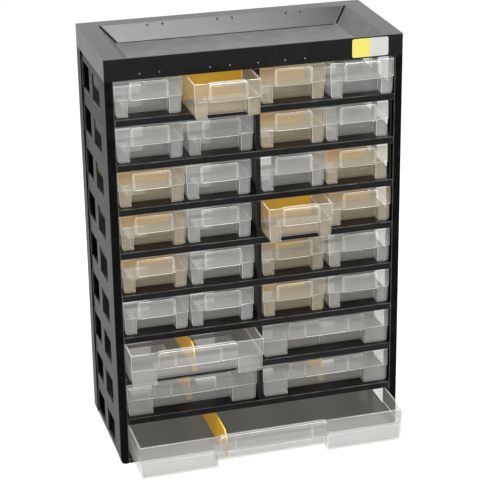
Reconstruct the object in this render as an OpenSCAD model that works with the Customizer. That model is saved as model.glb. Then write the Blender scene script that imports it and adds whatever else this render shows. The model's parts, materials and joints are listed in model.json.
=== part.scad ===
// Small-parts cabinet: a black lattice housing with an open tray on top and
// nine rows of clear pull-out drawers. Millimetres, +Z up, the drawers pull out
// towards -Y. The origin is the middle of the housing's underside.

/* [Housing] */
// Width over the side walls
body_w = 320; // [300:1:380]
// Depth from the fascia to the back panel
body_d = 145; // [142:1:180]
// Height of one row of drawers, shelf included
row_pitch = 48.75; // [48:0.25:56]
// Height of the shelf's front lip
lip_h = 7.5; // [5:0.5:9]
// Height of the fascia above the top row
fascia_h = 23; // [22:0.5:36]
// Thickness of the floor under the lowest drawer
base_t = 5.25; // [3:0.25:6]
// Width of the front and back posts, seen from the front
post_w = 9; // [8:0.5:14]
// Radius of the upright front edges
edge_r = 2; // [1.5:0.5:6]

/* [Side walls] */
// Depth of the front post
front_post = 13; // [10:0.5:32]
// Depth of the back post
back_post = 19; // [9:0.5:24]
// How far the lattice lies behind the posts' outer face
lattice_in = 1.3; // [1:0.1:2.4]
// Thickness of the lattice
lattice_t = 2; // [1.6:0.1:2.4]
// Plain stretch of lattice between the front post and the first window
lattice_margin = 22.5; // [4:0.5:30]
// Width of the bar between the two columns of windows
lattice_bar = 15; // [8:0.5:20]
// Height of a side window
window_h = 29.6; // [20:0.2:36]

/* [Top tray] */
// Depth of the tray
tray_depth = 16.5; // [10:0.5:18]
// Width of the flat rim at each side
rim_side = 20.5; // [18:0.5:30]
// Width of the flat rim at the back
rim_back = 18.5; // [10:0.5:20]
// How far the sloping sides run in
tray_slope = 15.5; // [8:0.5:18]

/* [Drawers] */
// Height of a drawer at its rim
drawer_h = 38; // [32:0.5:39]
// Height of the step that runs round every drawer
step_z = 18.5; // [14:0.5:20]
// Length of a drawer without its label panel
drawer_l = 136; // [118:1:136]
// How far a shut drawer's front lies behind the fascia
front_in = 5; // [4:0.5:6]
// Wall of the small drawers
thin_wall = 1.4; // [1.2:0.1:1.8]
// Wall of the medium and large drawers
thick_wall = 1.6; // [1.4:0.1:2]
// How far the stops let a drawer come out
travel = 105; // [60:1:106]

/* [Hidden] */
rows = 9;
small_rows = 6;
eps = 0.5;

panel_t = 2.5;
lip_t = 2.5;
post_t = 3;
upright_t = 3;
flange_w = 4.6;
flange_d = 4;

cap_z = base_t + rows * row_pitch - lip_h;
body_h = cap_z + fascia_h;
inner_x = body_w / 2 - post_w;
lattice_x = body_w / 2 - lattice_in - lattice_t;
bay_back = body_d - panel_t;
bay_free = row_pitch - panel_t;

// Side windows: their sill above each row's floor, and the stretch behind the last one
window_sill = 0.8;
window_back = 1.5;

// Clearance under a drawer, beside the left and right pair of small ones, and between a pair
lift = 0.3;
left_gap = 1.7;
right_gap = 3.2;
pair_gap = 1.2;

// How far each medium drawer stands from the middle of its bay
medium_off = [-0.3, 1.4];

// Widths, each less than its bay by the play that lets the drawers sit to one side
half_bay = inner_x - upright_t / 2;
small_play = 8.5;
medium_play = 3.5;
large_play = 3;
small_w = (half_bay - small_play) / 2;
medium_w = half_bay - medium_play;
large_w = 2 * inner_x - large_play;

// Section of a drawer: the lower half is narrower, leans in and stands back
step_in = 0.8;
draft = 0.5;
foot_in = 0.9;
foot_r = 2.75;
flange_back = 5;
relief = 0.5;

// Stops at the top of a drawer's sides, just behind the lip when it is right out
stop_y = travel + lip_t + 1 - front_in;
stop_l = 4;
stop_h = 5.5;

// Inserts, and the ribs that hold them
slot_y = 65;
slot_h = 30;
rib_t = 1;
insert_t = 1.4;
insert_top = 33;

// Drawers that stand open or sit to one side: [row, column, how far out, how far to the right]
moved = [
    [1, 2, 31, 3.9],
    [1, 3, 0, 0.2],
    [1, 4, 5, 3.2],
    [2, 2, 0, 3.9],
    [3, 2, 0, 0.8],
    [4, 1, 0, 0.6],
    [4, 2, 0, 0.6],
    [4, 3, 26, 0.3],
    [4, 4, 0, 3.8],
    [5, 1, 0, 0.6],
    [5, 2, 0, 3],
    [5, 4, 0, 3.8],
    [6, 1, 0, 0.4],
    [6, 2, 0, 1.8],
    [6, 3, 0, 0.4],
    [6, 4, 0, 3.8],
    [7, 1, 29, 0.2],
    [8, 1, 0, 0.6],
    [9, 1, 54.5, 0]
];
small_inserts = [
    [1, 2], [1, 3], [2, 3], [3, 1], [3, 4], [4, 1], [4, 3], [4, 4], [5, 1], [5, 3], [6, 3]
];
medium_inserts = [[7, 1], [8, 1], [8, 2]];

function floor_z(row) = base_t + (rows - row) * row_pitch;
function columns(row) = row <= small_rows ? 4 : row < rows ? 2 : 1;
function out(row, col) = let (m = [for (k = moved) if (k[0] == row && k[1] == col) k[2]])
    len(m) > 0 ? m[0] : 0;
function aside(row, col) = let (m = [for (k = moved) if (k[0] == row && k[1] == col) k[3]])
    len(m) > 0 ? m[0] : 0;

// Middle of each drawer, measured from the middle of the cabinet
small_left = -inner_x + left_gap + small_w / 2;
small_right = upright_t / 2 + right_gap + small_w / 2;
function small_x(col) = col <= 2 ? small_left + (col - 1) * (small_w + pair_gap)
    : small_right + (col - 3) * (small_w + pair_gap);
function medium_x(col) = (col - 1.5) * (inner_x + upright_t / 2) + medium_off[col - 1];
function drawer_x(row, col) = aside(row, col)
    + (row <= small_rows ? small_x(col) : row < rows ? medium_x(col) : 0);

function drawer_name(row, col) = row <= small_rows ? str("small_drawer_", row, "_", col)
    : row < rows ? str("medium_drawer_", row, "_", col) : "large_drawer";
function insert_name(row, col) = str("divider_", row, "_", col);

// ---- helpers ----

// A drawing in X and Z, carried along Y; and one in Y and Z, carried along X
module along_y(y0, y1) translate([0, y1, 0]) rotate([90, 0, 0]) linear_extrude(y1 - y0) children();
module along_x(x0, x1) translate([x0, 0, 0]) rotate([90, 0, 90]) linear_extrude(x1 - x0) children();

// The housing is drawn with its front plane at Y = 0, then moved to its place
module placed() translate([0, -body_d / 2, 0]) children();

function arc(cx, cy, r, from, to, steps = 4) =
    [for (i = [0:steps]) let (a = from + (to - from) * i / steps) [cx + r * cos(a), cy + r * sin(a)]];
function mirrored(points) = [for (i = [len(points) - 1:-1:0]) [-points[i][0], points[i][1]]];

// Plan of the cabinet, with round upright edges
module footprint(back_r = 2) {
    half = body_w / 2;
    translate([-half, edge_r]) square([body_w, body_d - edge_r - back_r]);
    translate([-half + edge_r, 0]) square([body_w - 2 * edge_r, body_d - back_r]);
    translate([-half + back_r, edge_r]) square([body_w - 2 * back_r, body_d - edge_r]);
    for (s = [-1, 1]) {
        translate([s * (half - edge_r), edge_r]) circle(edge_r, $fn = 48);
        translate([s * (half - back_r), body_d - back_r]) circle(back_r, $fn = 48);
    }
}

// Front view of the cabinet, with round lower corners
module silhouette(r = 5) {
    half = body_w / 2;
    translate([-half, r]) square([body_w, body_h - r]);
    translate([-half + r, 0]) square([body_w - 2 * r, body_h]);
    for (s = [-1, 1]) translate([s * (half - r), r]) circle(r, $fn = 64);
}

// ---- housing ----

module wall_shape() {
    half = body_w / 2;
    lattice_y = body_d - back_post - front_post;
    window_w = (lattice_y - lattice_margin - window_back - lattice_bar) / 2;
    first_window = front_post + lattice_margin;
    intersection() {
        linear_extrude(cap_z) footprint();
        along_y(0, body_d) silhouette();
        difference() {
            union() {
                difference() {
                    translate([-half, 0, 0]) cube([post_w, body_d, cap_z]);
                    // the lattice lies back from the outer face, and its inside is open
                    translate([-half - eps, front_post, -eps])
                        cube([lattice_in + eps, lattice_y, cap_z + 2 * eps]);
                    translate([-lattice_x, front_post, -eps])
                        cube([half, lattice_y, cap_z + 2 * eps]);
                    // both posts are channels, open to the inside
                    translate([-half + post_t, post_t, base_t])
                        cube([post_w, front_post - 2 * post_t, cap_z - 2 * base_t]);
                    translate([-half + post_t, body_d - back_post + panel_t, base_t])
                        cube([post_w, back_post - 2 * panel_t, cap_z - 2 * base_t]);
                }
                // ledges that the shelves rest on
                for (row = [1:rows - 1])
                    translate([-lattice_x - lattice_t / 2, front_post, floor_z(row) - 2 * panel_t])
                        cube([lattice_x - inner_x + lattice_t / 2, lattice_y, panel_t]);
            }
            for (row = [1:rows])
                for (y = [first_window, first_window + window_w + lattice_bar])
                    translate([-half - eps, y, floor_z(row) + window_sill])
                        cube([lattice_in + lattice_t + 2 * eps, window_w, window_h]);
        }
    }
}

module left_wall() color("#26272a") placed() wall_shape();
module right_wall() color("#26272a") placed() mirror([1, 0, 0]) wall_shape();

// Plan of a floor that fills the housing between its walls and posts
module floor_plan() {
    translate([-inner_x, 0]) square([2 * inner_x, bay_back]);
    translate([-lattice_x, front_post]) square([2 * lattice_x, body_d - front_post - back_post]);
}

// Two columns of holes in each half: near the middle, and near the wall
hole_w = 43;
hole_l = 38;
hole_xs = [14, 91];
hole_ys = [40, 84];
hole_sill = 2;
module hole_columns() for (s = [-1, 1]) for (x = hole_xs)
    translate([s > 0 ? x : -x - hole_w, 0]) children();

module back_panel() color("#26272a") placed() difference() {
    translate([-inner_x, bay_back, 0]) cube([2 * inner_x, panel_t, cap_z]);
    for (row = [1:rows])
        hole_columns() translate([0, bay_back - eps, floor_z(row) + hole_sill])
            cube([hole_w, panel_t + 2 * eps, hole_l]);
}

pocket_l = 60;
pocket_w = 70;
pocket_xs = [4, 79];
pocket_ys = [6, 75];
module base_panel() color("#26272a") placed() difference() {
    linear_extrude(base_t) floor_plan();
    // pockets underneath leave ribs, one of them through the middle
    for (s = [-1, 1]) for (x = pocket_xs) for (y = pocket_ys)
        translate([s > 0 ? x : -x - pocket_w, y, -eps])
            cube([pocket_w, pocket_l, base_t - panel_t + eps]);
}

module shelf(row) color("#26272a") placed() translate([0, 0, floor_z(row)]) difference() {
    union() {
        translate([0, 0, -panel_t]) linear_extrude(panel_t) floor_plan();
        translate([-inner_x, 0, -lip_h]) cube([2 * inner_x, lip_t, lip_h]);
    }
    for (y = hole_ys)
        hole_columns() translate([0, y, -panel_t - eps]) cube([hole_w, hole_l, panel_t + 2 * eps]);
}

// The uppermost upright ends under the tray's floor, the others under the next shelf
module centre_uprights() color("#26272a") placed() for (row = [1:rows - 1])
    translate([0, 0, floor_z(row)]) {
        top = row == 1 ? body_h - tray_depth - panel_t - floor_z(row) : bay_free;
        translate([-upright_t / 2, lip_t, 0]) cube([upright_t, bay_back - lip_t, top]);
        translate([-flange_w / 2, 0, 0]) cube([flange_w, flange_d, row_pitch - lip_h]);
    }

// The bowl of the tray, or with grow its outside. Its levels follow a fillet along the
// floor's edge and then the slope, which runs on above the rim.
bowl_r = 4;
fillet_r = 3;
slope_a = atan(tray_depth / tray_slope);
module bowl_level(z, half, back) translate([0, 0, z]) linear_extrude(0.01)
    for (x = [bowl_r - half, half - bowl_r]) for (y = [panel_t + bowl_r, back - bowl_r])
        translate([x, y]) circle(bowl_r, $fn = 32);
module bowl(grow) {
    half = body_w / 2 - rim_side - tray_slope + grow;
    back = body_d - rim_back - tray_slope + grow;
    low = body_h - tray_depth - grow;
    above = tray_depth + grow + panel_t;
    hull() {
        for (a = [0, slope_a / 2, slope_a])
            let (side = fillet_r * (sin(a) - tan(slope_a / 2)))
                bowl_level(low + fillet_r * (1 - cos(a)), half + side, back + side);
        bowl_level(low + above, half + above / tan(slope_a), back + above / tan(slope_a));
    }
}

// The label plate lies in a pocket of the fascia, which is deeper than the plate stands out
plate_w = 40;
plate_h = 20;
plate_in = 0.6;
plate_out = 0.4;
plate_at = [103.2, cap_z + 1.6];
module plate_outline(r = 2) {
    for (x = [r, plate_w - r]) for (z = [r, plate_h - r]) translate([x, z]) circle(r, $fn = 48);
    translate([r, 0]) square([plate_w - 2 * r, plate_h]);
    translate([0, r]) square([plate_w, plate_h - 2 * r]);
}

module top_tray() color("#26272a") placed() {
    seam_x = body_w / 2 - 18.7;
    seam_w = 0.6;
    seam_in = 0.4;
    band_in = 0.3;
    band_top = cap_z + 6;
    pip_r = 0.9;
    pip_out = 0.4;
    pip_xs = [-123.5, -103, -50, -29, 0.9, 30, 51.5];
    pair_xs = [-77.5, 0, 77.5];
    pair_half = 8.3;
    small_rib = [1.6, 4, 4];
    difference() {
        translate([0, 0, cap_z]) linear_extrude(fascia_h) footprint();
        difference() {
            translate([-body_w / 2 + panel_t, panel_t, cap_z - eps])
                cube([body_w - 2 * panel_t, body_d - 2 * panel_t, fascia_h - panel_t + eps]);
            bowl(panel_t);
        }
        bowl(0);
        // shallow lower band of the fascia, and the grooves at its ends
        translate([-seam_x, -eps, cap_z - eps])
            cube([2 * seam_x, eps + band_in, band_top - cap_z + eps]);
        for (s = [-1, 1]) translate([s * seam_x - seam_w / 2, -eps, cap_z - eps])
            cube([seam_w, eps + seam_in, fascia_h + 2 * eps]);
        along_y(-eps, plate_in) translate(plate_at) plate_outline();
    }
    // snap pips along the band, none of them under the label plate
    for (x = pip_xs)
        along_y(-pip_out, panel_t / 2) translate([x, band_top]) circle(pip_r, $fn = 24);
    // small ribs in pairs at the top of the back slope
    for (x = pair_xs) for (s = [-1, 1])
        translate([x + s * pair_half - small_rib[0] / 2, body_d - rim_back - 3.5, body_h - 5])
            cube(small_rib);
}

module label_plate() color("#f2f0e4") placed()
    along_y(-plate_out, plate_in) translate(plate_at) plate_outline();

// ---- drawers ----

// Half of a drawer's section in X and Z, t inside its outer face, up to top
function section(half, t, top) = concat(
    arc(half - step_in - draft - foot_r, foot_r, foot_r - t, -90, 0),
    [[half - step_in - t, step_z + t], [half - t, step_z + t], [half - t, top]]
);
module section_outline(half, t, top) polygon(concat(section(half, t, top), mirrored(section(half, t, top))));

// The tub's outer form, or with t its inside
module tub(half, t) {
    top = drawer_h + (t > 0 ? 10 : 0);
    along_y(t, drawer_l - t) translate([t - half, step_z + t]) square([2 * (half - t), top - step_z - t]);
    along_y(t + foot_in, drawer_l - t - foot_in) section_outline(half, t, top);
}

// Label panel in X and Z, a little narrower at the top, with round shoulders
panel_lean = 1.4;
function panel_half(block, t, r) = concat(
    [[block - t, step_z + t]],
    arc(block - t - panel_lean - r, drawer_h - t - r, r, 0, 90)
);
module panel_outline(block, t = 0, r = 3) polygon(
    concat(panel_half(block, t, r), mirrored(panel_half(block, t, r)))
);

// w: width; block: half width of the label panel; reach: depth of the finger recess;
// proud: how far the panel stands out; bars: how far the two raised bars lie from the middle;
// bar_w: their width; band: height of the raised bar along the top
module drawer_shape(w, wall, block, reach, proud, bars, bar_w, band) {
    half = w / 2;
    difference() {
        union() {
            tub(half, 0);
            along_y(-proud, flange_back) panel_outline(block);
        }
        // finger recess under the panel
        translate([-block, -proud - eps, -eps]) cube([2 * block, proud + reach + eps, step_z + eps]);
        difference() {
            union() {
                tub(half, wall);
                along_y(-proud + wall, flange_back) panel_outline(block, wall);
            }
            translate([-block - wall, -proud - eps, -eps])
                cube([2 * (block + wall), proud + reach + wall + eps, step_z + wall + eps]);
            along_y(-proud, flange_back) intersection() {
                panel_outline(block);
                translate([-block, drawer_h - wall]) square([2 * block, wall]);
            }
        }
    }
    // raised frame round the place for a label
    along_y(-proud - relief, -proud) intersection() {
        panel_outline(block);
        union() {
            translate([-block, drawer_h - band]) square([2 * block, band]);
            for (s = [-1, 1]) translate([s * bars - bar_w / 2, step_z]) square([bar_w, drawer_h]);
        }
    }
    for (s = [-1, 1]) translate([s * (half - wall / 2) - wall / 2, stop_y, drawer_h - 2])
        cube([wall, stop_l, stop_h + 2]);
}

// Ribs that hold a cross divider, following the section; they stand out from the wall
module cross_slot(w, wall, out_by = 1.5) for (s = [-1, 1])
    along_y(slot_y + s * (insert_t / 2 + 0.7) - rib_t / 2, slot_y + s * (insert_t / 2 + 0.7) + rib_t / 2)
        difference() {
            section_outline(w / 2, wall / 2, slot_h);
            translate([0, out_by]) section_outline(w / 2 - out_by, wall, slot_h + eps);
        }

// Ribs that hold a lengthwise divider, on the recess wall and on the back wall
module long_slot(wall, reach, x, rib_l = 2, off = 2.2) for (s = [-1, 1])
    for (y = [reach + wall / 2, drawer_l - foot_in - wall - rib_l])
        translate([x + s * off - rib_t / 2, y, wall / 2]) cube([rib_t, rib_l + wall / 2, slot_h / 2]);

small_block = 21.7;
medium_block = 45;
large_block = 62;
small_reach = 14;
large_reach = 15.5;
large_slot = 48.6;

module small_drawer() {
    drawer_shape(small_w, thin_wall, small_block, small_reach, 3, small_block - 2.4, 3, 3);
    cross_slot(small_w, thin_wall);
}

module medium_drawer() {
    drawer_shape(medium_w, thick_wall, medium_block, small_reach, 1.5, 25, 2.6, 4);
    long_slot(thick_wall, small_reach, 0);
}

module large_drawer() {
    drawer_shape(large_w, thick_wall, large_block, large_reach, 0.8, 43.5, 2.6, 4);
    for (s = [-1, 1]) long_slot(thick_wall, large_reach, s * large_slot);
}

// Moves a drawer, or what is in it, to its place in the cabinet
module in_bay(row, col) placed()
    translate([drawer_x(row, col), front_in - out(row, col), floor_z(row) + lift]) children();

module drawer(row, col) color("#c9ced2", 0.6) in_bay(row, col) {
    if (row <= small_rows) small_drawer();
    else if (row < rows) medium_drawer();
    else large_drawer();
}

module cross_divider(row, col) color("#d98f1e", 0.8) in_bay(row, col)
    along_y(slot_y - insert_t / 2, slot_y + insert_t / 2)
        intersection() {
            section_outline(small_w / 2, thin_wall, drawer_h);
            translate([-small_w / 2, 0]) square([small_w, insert_top]);
        }

// Lengthwise divider at x, with a round front corner at the top
module long_divider(row, col, reach, x, r = 12) color("#d98f1e", 0.8) in_bay(row, col)
    translate([x, 0, 0]) along_x(-insert_t / 2, insert_t / 2) {
        front = reach + thick_wall;
        back = drawer_l - foot_in - thick_wall;
        polygon(concat(
            [[front, thick_wall], [back, thick_wall], [back, insert_top]],
            arc(front + r, insert_top - r, r, 90, 180, 6)
        ));
    }

left_wall();
right_wall();
back_panel();
base_panel();
centre_uprights();
top_tray();
label_plate();
for (row = [1:rows - 1]) shelf(row);
for (row = [1:rows]) for (col = [1:columns(row)])
    drawer(row, col);
for (k = small_inserts)
    cross_divider(k[0], k[1]);
for (k = medium_inserts)
    long_divider(k[0], k[1], small_reach, 0);
long_divider(rows, 1, large_reach, -large_slot);
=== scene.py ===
import json
import math
import bmesh
import bpy
from mathutils import Matrix, Vector


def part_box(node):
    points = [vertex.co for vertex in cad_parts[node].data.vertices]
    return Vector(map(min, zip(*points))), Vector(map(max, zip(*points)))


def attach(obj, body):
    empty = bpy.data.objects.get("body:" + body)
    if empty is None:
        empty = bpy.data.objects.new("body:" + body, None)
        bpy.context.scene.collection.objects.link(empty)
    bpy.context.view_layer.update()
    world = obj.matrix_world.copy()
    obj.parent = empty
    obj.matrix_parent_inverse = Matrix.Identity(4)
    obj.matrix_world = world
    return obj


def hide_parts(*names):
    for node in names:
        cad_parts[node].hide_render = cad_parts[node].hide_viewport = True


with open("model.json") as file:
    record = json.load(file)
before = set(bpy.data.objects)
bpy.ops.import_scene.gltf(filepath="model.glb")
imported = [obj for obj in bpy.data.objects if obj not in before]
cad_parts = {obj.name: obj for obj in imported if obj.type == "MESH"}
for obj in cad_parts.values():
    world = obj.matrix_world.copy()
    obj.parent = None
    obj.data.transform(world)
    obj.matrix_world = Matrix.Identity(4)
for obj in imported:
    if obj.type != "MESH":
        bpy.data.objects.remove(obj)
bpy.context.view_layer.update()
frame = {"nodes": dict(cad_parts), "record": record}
nodes = frame["nodes"]
print("frame loaded:", len(nodes), "pieces")

housingNames = [n for n in nodes if n.startswith("shelf_")] + [
    "left_wall", "right_wall", "back_panel", "base_panel", "centre_uprights", "top_tray"]
drawerNames = [n for n in nodes if "drawer" in n]
dividerNames = [n for n in nodes if n.startswith("divider_")]
bodyOf = {node: body for body, held in frame["record"]["behaviour"]["bodies"].items() for node in held}

# points closer than joinMm are one point, faces within flatDegrees are one face, and an edge
# that turns outwards by more than sharpDegrees is a sharp one
meshing = {"joinMm": 0.01, "flatDegrees": 0.5, "sharpDegrees": 38}


def linear(hexColour, alpha=1.0):
    # sRGB hex to the linear values that shaders use
    parts = [int(hexColour[i:i + 2], 16) / 255 for i in (1, 3, 5)]
    return tuple(c / 12.92 if c <= 0.04045 else ((c + 0.055) / 1.055) ** 2.4 for c in parts) + (alpha,)


def addNode(tree, kind, inputs=None, **settings):
    # adds one shader node; an input is a value, or the socket that feeds it
    node = tree.nodes.new("ShaderNode" + kind)
    for key, value in settings.items():
        setattr(node, key, value)
    for key, value in (inputs or {}).items():
        if isinstance(value, bpy.types.NodeSocket):
            tree.links.new(value, node.inputs[key])
        else:
            node.inputs[key].default_value = value
    return node


def newMaterial(name):
    material = bpy.data.materials.new(name)
    material.use_nodes = True
    tree = material.node_tree
    tree.nodes.clear()
    out = addNode(tree, "OutputMaterial")
    return material, tree, out


def addModifier(piece, kind, **settings):
    modifier = piece.modifiers.new(kind.lower(), kind)
    for key, value in settings.items():
        setattr(modifier, key, value)


def takeOver(name, shape, finishes):
    # a piece of its own that stands for a node, with the mesh and finishes given
    mesh = bpy.data.meshes.new(name + "_dressed")
    shape.to_mesh(mesh)
    shape.free()
    piece = bpy.data.objects.new(name + "_dressed", mesh)
    bpy.context.scene.collection.objects.link(piece)
    for finish in finishes:
        mesh.materials.append(finish)
    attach(piece, bodyOf[name])
    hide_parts(name)


def cleanShape(name):
    # the node's mesh with its flat faces made whole again
    shape = bmesh.new()
    shape.from_mesh(nodes[name].data)
    bmesh.ops.remove_doubles(shape, verts=shape.verts, dist=meshing["joinMm"] / 1000)
    bmesh.ops.dissolve_limit(shape, angle_limit=math.radians(meshing["flatDegrees"]),
                             verts=shape.verts, edges=shape.edges)
    for face in shape.faces:
        face.material_index = 0
        face.smooth = False
    return shape


def isSharp(edge):
    return edge.is_manifold and edge.calc_face_angle_signed() > math.radians(meshing["sharpDegrees"])


def softenEdges(shape, spec, segments, finish):
    # bevels the sharp outer edges, but for the tiny ones and those that end on one
    shortest = spec["tinyMm"] / 1000
    tiny = {v for e in shape.edges if e.calc_length() < shortest for v in e.verts}
    sharp = [e for e in shape.edges if isSharp(e) and not tiny.intersection(e.verts)]
    bmesh.ops.bevel(shape, geom=sharp, offset=spec["edgeMm"] / 1000, offset_type="OFFSET", segments=segments,
                    profile=0.5, affect="EDGES", clamp_overlap=False, material=finish)


# camera

camera = {
    "lens": 136.65, "sensor": 36.0, "shiftX": -0.1253, "shiftY": 0.0234,
    "azimuth": -17.546, "elevation": 22.668, "roll": -0.128,
    "place": (-0.50118, -1.80262, 0.98482), "farthest": 50,
}


def placeCamera(spec):
    az, el, roll = (math.radians(spec[k]) for k in ("azimuth", "elevation", "roll"))
    back = Vector((math.sin(az) * math.cos(el), -math.cos(az) * math.cos(el), math.sin(el)))
    right = Vector((0, 0, 1)).cross(back).normalized()
    up = back.cross(right)
    rolledRight = right * math.cos(roll) + up * math.sin(roll)
    rolledUp = up * math.cos(roll) - right * math.sin(roll)
    data = bpy.data.cameras.new("camera")
    data.lens, data.sensor_width = spec["lens"], spec["sensor"]
    data.shift_x, data.shift_y = spec["shiftX"], spec["shiftY"]
    data.clip_end = spec["farthest"]
    body = bpy.data.objects.new("camera", data)
    turn = Matrix((rolledRight, rolledUp, back)).transposed().to_4x4()
    body.matrix_world = Matrix.Translation(spec["place"]) @ turn
    bpy.context.scene.collection.objects.link(body)
    bpy.context.scene.camera = body


placeCamera(camera)
print("camera placed")

# light and floor

studio = {
    "world": "#ffffff", "worldStrength": 0.3,
    # the drawers lie behind one another, each with several hazy walls to look through
    "hazyWalls": 40,
    # the sweep glows a little, so it stays pale where the cabinet shades it
    "floorHalf": 9.0, "floorColour": "#8a8a8a", "floorGlow": 0.85, "floorRoughness": 0.9,
    "floorSpecular": 0.1,
    # place, target, width, height, watts, spread
    "lights": {
        "frontSoftbox": ((-0.9, -2.2, 1.3), (0, 0, 0.2), 1.4, 1.0, 18, 180),
        "topSoftbox": ((0.03, -0.66, 1.85), (0.0, 0.05, 0.45), 1.1, 0.6, 9.5, 50),
        "backSoftbox": ((0.1, 2.6, 1.5), (0, 0, 0.4), 2.8, 1.8, 19, 180),
    },
}


def lightStudio(spec):
    scene = bpy.context.scene
    world = bpy.data.worlds.new("studio")
    world.use_nodes = True
    background = world.node_tree.nodes["Background"]
    background.inputs["Color"].default_value = linear(spec["world"])
    background.inputs["Strength"].default_value = spec["worldStrength"]
    scene.world = world
    scene.view_settings.view_transform = "Standard"
    scene.cycles.transparent_max_bounces = spec["hazyWalls"]
    for name, (place, target, width, height, watts, spread) in spec["lights"].items():
        data = bpy.data.lights.new(name, "AREA")
        data.shape, data.size, data.size_y, data.energy = "RECTANGLE", width, height, watts
        data.spread = math.radians(spread)
        light = bpy.data.objects.new(name, data)
        light.location = place
        light.rotation_euler = (Vector(target) - Vector(place)).to_track_quat("-Z", "Y").to_euler()
        light.visible_camera = False
        scene.collection.objects.link(light)


def layFloor(spec):
    # matt paper: an even pale ground with no gloss
    half = spec["floorHalf"]
    corners = [(-half, -half, 0), (half, -half, 0), (half, half, 0), (-half, half, 0)]
    mesh = bpy.data.meshes.new("floor")
    mesh.from_pydata(corners, [], [(0, 1, 2, 3)])
    floor = bpy.data.objects.new("floor", mesh)
    bpy.context.scene.collection.objects.link(floor)
    material, tree, out = newMaterial("matt paper sweep")
    shader = addNode(tree, "BsdfPrincipled", {
        "Base Color": linear(spec["floorColour"]), "Roughness": spec["floorRoughness"],
        "Specular IOR Level": spec["floorSpecular"],
        "Emission Color": linear("#ffffff"), "Emission Strength": spec["floorGlow"]})
    tree.links.new(shader.outputs["BSDF"], out.inputs["Surface"])
    mesh.materials.append(material)


lightStudio(studio)
layFloor(studio)
print("studio lit")

# housing: moulded ABS

housing = {
    "colour": "#060606", "worn": "#0e0e0e", "ior": 1.53, "roughness": 0.24, "specular": 0.16,
    # the grain of the mould is finer than this, but would not show
    "grainMm": 0.9, "grainDeepMm": 0.04, "grainStrength": 0.25,
    "scuffMm": 14, "scuffed": (0.42, 0.68), "glossFrom": -0.02, "glossTo": 0.03,
    "edgeMm": 0.6, "tinyMm": 1.8, "edgeDegrees": 40, "edgeSteps": 2,
    # these have tiny edges that would hold a bevel modifier back
    "copied": ("left_wall", "right_wall", "top_tray"),
    "slots": {"paintedSheen": 1, "paintedGlint": 2, "edge": 3},
    # the tray's floor and ends get a lighter, duller grey: a painted reflection, standing in for the sheen
    # they catch from above
    "paintedBowlSheen": {"colour": "#4a4a4a", "worn": "#545454", "roughness": 0.42, "specular": 0.07},
    "rimMm": 0.3, "facesUp": 0.1, "leansForward": -0.3,
    # the longest way round a face of the small ribs inside the tray, which get that lighter grey as well, as
    # a painted highlight
    "ribRoundMm": 20.0,
    # the side walls are a little rougher than the fronts and reflect far less: painted shade that darkens
    # them
    "side": {"specular": 0.025, "roughness": 0.3},
    # edges painted a little paler and shinier: a painted highlight where the rounded edges catch the light
    "edges": {"colour": "#2c2c2b", "worn": "#4a4a48", "specular": 0.4},
    # the snap pips end in small domes, painted pale and shiny: a painted glint
    "tips": {"colour": "#565654", "worn": "#70706d", "specular": 0.4},
    "pipWidestMm": 2.2, "pipProudMm": 0.2, "domeMm": 0.5, "facesFront": -0.95,
}


def mouldedAbs(spec, name):
    # black ABS from a polished mould: near black seen square on, a soft pale sheen seen flat,
    # with faint scuffs that dull it in patches
    material, tree, out = newMaterial(name)
    where = addNode(tree, "TexCoord").outputs["Object"]
    grain = addNode(tree, "TexNoise", {"Vector": where, "Scale": 1000 / spec["grainMm"], "Detail": 2.0})
    scuffs = addNode(tree, "TexNoise", {
        "Vector": where, "Scale": 1000 / spec["scuffMm"], "Detail": 6.0, "Roughness": 0.65})
    patches = addNode(tree, "MapRange", {
        "Value": scuffs.outputs["Fac"], "From Min": spec["scuffed"][0], "From Max": spec["scuffed"][1],
        "To Min": 0.0, "To Max": 1.0})
    # a colour Mix has its factor first and its two colours in places 6 and 7
    tint = addNode(tree, "Mix", {
        0: patches.outputs["Result"], 6: linear(spec["colour"]), 7: linear(spec["worn"])}, data_type="RGBA")
    gloss = addNode(tree, "MapRange", {
        "Value": scuffs.outputs["Fac"], "From Min": 0.3, "From Max": 0.7,
        "To Min": spec["roughness"] + spec["glossFrom"], "To Max": spec["roughness"] + spec["glossTo"]})
    bump = addNode(tree, "Bump", {
        "Strength": spec["grainStrength"], "Distance": spec["grainDeepMm"] / 1000,
        "Height": grain.outputs["Fac"]})
    shader = addNode(tree, "BsdfPrincipled", {
        "Base Color": tint.outputs[2], "Roughness": gloss.outputs["Result"], "IOR": spec["ior"],
        "Specular IOR Level": spec["specular"], "Normal": bump.outputs["Normal"]})
    tree.links.new(shader.outputs["BSDF"], out.inputs["Surface"])
    return material


def markBowl(shape, rimAt, spec):
    # what faces up below the rim is the bowl and gets the painted reflection; its back slope, which leans
    # forward, keeps the plain finish, and the small ribs on it get the lighter grey as a painted highlight
    for face in shape.faces:
        middle = face.calc_center_median()
        upward = face.normal.z > spec["facesUp"] and face.normal.y > spec["leansForward"]
        onRib = middle.y > 0 and face.calc_perimeter() < spec["ribRoundMm"] / 1000
        if middle.z < rimAt and (upward or onRib):
            face.material_index = spec["slots"]["paintedSheen"]


def domePips(shape, front, spec):
    # the small round ends that stand out of the fascia are drawn up to a smooth point
    proud = front - spec["pipProudMm"] / 1000
    longest = math.pi * spec["pipWidestMm"] / 1000
    pips = [f for f in shape.faces if f.normal.y < spec["facesFront"]
            and f.calc_center_median().y < proud and f.calc_perimeter() < longest]
    for face in bmesh.ops.poke(shape, faces=pips, offset=spec["domeMm"] / 1000)["faces"]:
        face.smooth = True
        # the domes take the pale finish, a painted glint
        face.material_index = spec["slots"]["paintedGlint"]


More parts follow.
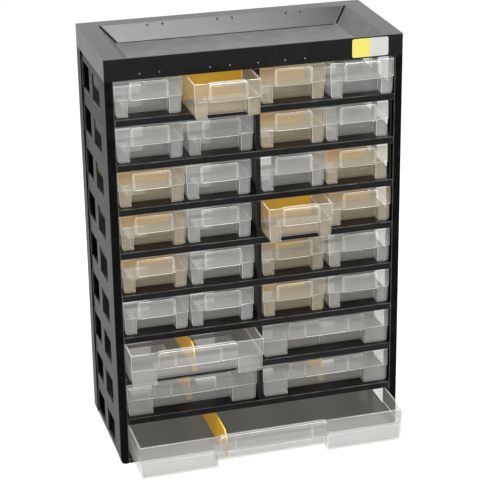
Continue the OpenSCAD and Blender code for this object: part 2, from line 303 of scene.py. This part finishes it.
def dressHousing(spec):
    finish = mouldedAbs(spec, "moulded black ABS")
    # the bowl's copy: a lighter grey that is painted reflection
    paintedSheen = mouldedAbs({**spec, **spec["paintedBowlSheen"]}, "black ABS, painted bowl sheen")
    # the side walls' copy, its reflection turned down as painted shade
    shadedSideFinish = mouldedAbs({**spec, **spec["side"]}, "moulded black ABS side")
    # the pips' copy: pale, a painted glint
    paintedGlint = mouldedAbs({**spec, **spec["tips"]}, "black ABS, painted glint")
    # the bevelled edges' copy: paler, a painted highlight
    edge = mouldedAbs({**spec, **spec["edges"]}, "black ABS edge, painted highlight")
    for name in housingNames:
        if name in spec["copied"]:
            shape = cleanShape(name)
            softenEdges(shape, spec, spec["edgeSteps"], spec["slots"]["edge"])
            if name == "top_tray":
                markBowl(shape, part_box(name)[1][2] - spec["rimMm"] / 1000, spec)
                domePips(shape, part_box("left_wall")[0][1], spec)
            takeOver(name, shape, [finish if name == "top_tray" else shadedSideFinish, paintedSheen, paintedGlint, edge])
            continue
        piece = nodes[name]
        piece.data.materials.clear()
        piece.data.materials.append(finish)
        piece.data.materials.append(edge)
        addModifier(piece, "WELD", merge_threshold=meshing["joinMm"] / 1000)
        addModifier(piece, "BEVEL", width=spec["edgeMm"] / 1000, segments=spec["edgeSteps"],
                    limit_method="ANGLE", angle_limit=math.radians(spec["edgeDegrees"]), material=1)


dressHousing(housing)
print("housing dressed")

# drawers: clear polypropylene

drawer = {
    # the walls glow faintly in their own colour: painted light for the light scattered in the haze
    "colour": "#858480", "alpha": 0.3, "patchy": 0.01, "ior": 1.49, "roughness": 0.25, "paintedGlow": 0.5,
    "flowMm": 60,
    # a cross divider lends its colour to the haze around it: painted amber light, the walls of a drawer that
    # holds one tinted warm
    "warmColour": "#8a8270",
    # edges, and the face of the raised frame on the label panel, are painted whiter than the walls: partly
    # the thicker plastic seen edge on, partly a painted highlight
    "edgeColour": "#f2f2ee", "edgeAlpha": 0.3, "frameAlpha": 0.1, "edgePatchy": 0.03,
    "edgeMm": 0.5, "tinyMm": 0.6, "frameMm": 0.1,
    # the long edge of the step is painted whiter still, a painted highlight where it catches the light
    "stepMm": 18.5, "stepEdgeMm": 0.9, "stepAlpha": 0.5,
    "stepLevelMm": 0.2, "stepShortestMm": 4.0, "stepSkewMm": 0.1,
    # the back wall is thick with haze, so what shines in from behind is softened
    "backColour": "#96938a", "backAlpha": 0.42, "backMm": 3.5, "facesAlong": 0.9,
    "slots": {"edge": 1, "frame": 2, "back": 3, "step": 4},
}
# how the haze of a moulded clear plastic runs
flow = {"from": 0.3, "to": 0.7, "detail": 4.0, "glossFrom": -0.05, "glossTo": 0.08,
        "rippleMm": 0.2, "rippleStrength": 0.15}


def milkyPlastic(name, spec, colour, alpha, patchy):
    # plastic with a haze that light also gets into: what is behind it shows through, greyed; the light in the
    # haze is painted, as a faint glow in the plastic's own colour
    material, tree, out = newMaterial(name)
    where = addNode(tree, "TexCoord").outputs["Object"]
    swirl = addNode(tree, "TexNoise", {
        "Vector": where, "Scale": 1000 / spec["flowMm"], "Detail": flow["detail"]})
    haze = addNode(tree, "MapRange", {
        "Value": swirl.outputs["Fac"], "From Min": flow["from"], "From Max": flow["to"],
        "To Min": alpha - patchy, "To Max": alpha + patchy})
    gloss = addNode(tree, "MapRange", {
        "Value": swirl.outputs["Fac"], "From Min": flow["from"], "From Max": flow["to"],
        "To Min": spec["roughness"] + flow["glossFrom"], "To Max": spec["roughness"] + flow["glossTo"]})
    bump = addNode(tree, "Bump", {
        "Strength": flow["rippleStrength"], "Distance": flow["rippleMm"] / 1000,
        "Height": swirl.outputs["Fac"]})
    shader = addNode(tree, "BsdfPrincipled", {
        "Base Color": linear(colour), "Roughness": gloss.outputs["Result"], "IOR": spec["ior"],
        "Alpha": haze.outputs["Result"], "Normal": bump.outputs["Normal"],
        "Emission Color": linear(colour), "Emission Strength": spec["paintedGlow"]})
    tree.links.new(shader.outputs["BSDF"], out.inputs["Surface"])
    return material


def markFrame(shape, spec):
    # the face of the raised frame on the label panel
    front = min(v.co.y for v in shape.verts)
    for face in shape.faces:
        if all(v.co.y < front + spec["frameMm"] / 1000 for v in face.verts):
            face.material_index = spec["slots"]["frame"]


def markBack(shape, spec):
    # the flat faces of the back wall, inside and out
    back = max(v.co.y for v in shape.verts) - spec["backMm"] / 1000
    for face in shape.faces:
        if abs(face.normal.y) > spec["facesAlong"] and all(v.co.y > back for v in face.verts):
            face.material_index = spec["slots"]["back"]


def bevelStep(shape, stepAt, spec):
    # the long lower edges of the label panel and of the step beside it
    level, shortest, skew = (spec[k] / 1000 for k in ("stepLevelMm", "stepShortestMm", "stepSkewMm"))
    edges = [e for e in shape.edges if isSharp(e) and e.calc_length() > shortest
             and all(abs(v.co.z - stepAt) < level for v in e.verts)
             and abs(e.verts[0].co.y - e.verts[1].co.y) < skew]
    bmesh.ops.bevel(shape, geom=edges, offset=spec["stepEdgeMm"] / 1000, offset_type="OFFSET", segments=1,
                    profile=0.5, affect="EDGES", clamp_overlap=True, material=spec["slots"]["step"])


def dressDrawers(spec):
    wall = milkyPlastic("clear polypropylene", spec, spec["colour"], spec["alpha"], spec["patchy"])
    warm = milkyPlastic("clear polypropylene, amber lit", spec, spec["warmColour"], spec["alpha"],
                        spec["patchy"])
    # edges, frame face and step edge: whiter, partly a painted highlight
    edge = milkyPlastic("clear polypropylene edge", spec, spec["edgeColour"], spec["edgeAlpha"],
                        spec["edgePatchy"])
    rib = milkyPlastic("clear polypropylene rib", spec, spec["edgeColour"], spec["frameAlpha"],
                       spec["edgePatchy"])
    back = milkyPlastic("clear polypropylene back", spec, spec["backColour"], spec["backAlpha"],
                        spec["edgePatchy"])
    step = milkyPlastic("clear polypropylene step edge", spec, spec["edgeColour"], spec["stepAlpha"],
                        spec["edgePatchy"])
    dividedBodies = {bodyOf[n] for n in dividerNames}
    for name in drawerNames:
        shape = cleanShape(name)
        bevelStep(shape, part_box(name)[0][2] + spec["stepMm"] / 1000, spec)
        softenEdges(shape, spec, 1, spec["slots"]["edge"])
        markFrame(shape, spec)
        markBack(shape, spec)
        # drawers holding a divider get the warm walls, painted amber light from it
        tinted = name.startswith("small_") and bodyOf[name] in dividedBodies
        takeOver(name, shape, [warm if tinted else wall, edge, rib, back, step])


dressDrawers(drawer)
print("drawers dressed")

# dividers: amber polystyrene

divider = {
    # the edges are painted lighter: partly the thicker amber seen edge on, partly a painted highlight
    "colour": "#e2b01c", "alpha": 0.84, "patchy": 0.04, "edgeColour": "#ffd23a", "edgeAlpha": 0.9,
    # the amber glows faintly in its own colour: painted light
    "ior": 1.59, "roughness": 0.2, "paintedGlow": 0.2, "flowMm": 18, "edgeMm": 0.4, "tinyMm": 0.6,
    "slots": {"edge": 1},
}


def dressDividers(spec):
    # moulded like the drawers, but so deep in colour that little shows through
    wall = milkyPlastic("amber polystyrene", spec, spec["colour"], spec["alpha"], spec["patchy"])
    edge = milkyPlastic("amber polystyrene edge", spec, spec["edgeColour"], spec["edgeAlpha"], spec["patchy"])
    for name in dividerNames:
        shape = cleanShape(name)
        softenEdges(shape, spec, 1, spec["slots"]["edge"])
        takeOver(name, shape, [wall, edge])


dressDividers(divider)
print("dividers dressed")

# label plate: white with a yellow end, left blank

label = {
    "white": "#9f9f9a", "yellow": "#b4aa50", "yellowPart": 0.49, "ior": 1.5,
    # the print's own unevenness is finer than this, but would not show
    "roughness": 0.25, "uneven": 0.02, "speckMm": 2.5,
}


def printedPlate(spec):
    # smooth printed polystyrene: flat clean colours with a light gloss
    material, tree, out = newMaterial("printed polystyrene")
    low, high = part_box("label_plate")
    where = addNode(tree, "TexCoord").outputs["Object"]
    across = addNode(tree, "SeparateXYZ", {"Vector": where}).outputs["X"]
    split = addNode(tree, "Math", {0: across, 1: low[0] + (high[0] - low[0]) * spec["yellowPart"]},
                    operation="GREATER_THAN")
    speck = addNode(tree, "TexNoise", {"Vector": where, "Scale": 1000 / spec["speckMm"], "Detail": 3.0})
    tint = addNode(tree, "Mix", {
        0: split.outputs[0], 6: linear(spec["yellow"]), 7: linear(spec["white"])}, data_type="RGBA")
    gloss = addNode(tree, "MapRange", {
        "Value": speck.outputs["Fac"], "To Min": spec["roughness"] - spec["uneven"],
        "To Max": spec["roughness"] + spec["uneven"]})
    shader = addNode(tree, "BsdfPrincipled", {
        "Base Color": tint.outputs[2], "Roughness": gloss.outputs["Result"], "IOR": spec["ior"]})
    tree.links.new(shader.outputs["BSDF"], out.inputs["Surface"])
    return material


def dressLabel(spec):
    plate = nodes["label_plate"]
    plate.data.materials.clear()
    plate.data.materials.append(printedPlate(spec))


dressLabel(label)
print("label plate dressed")
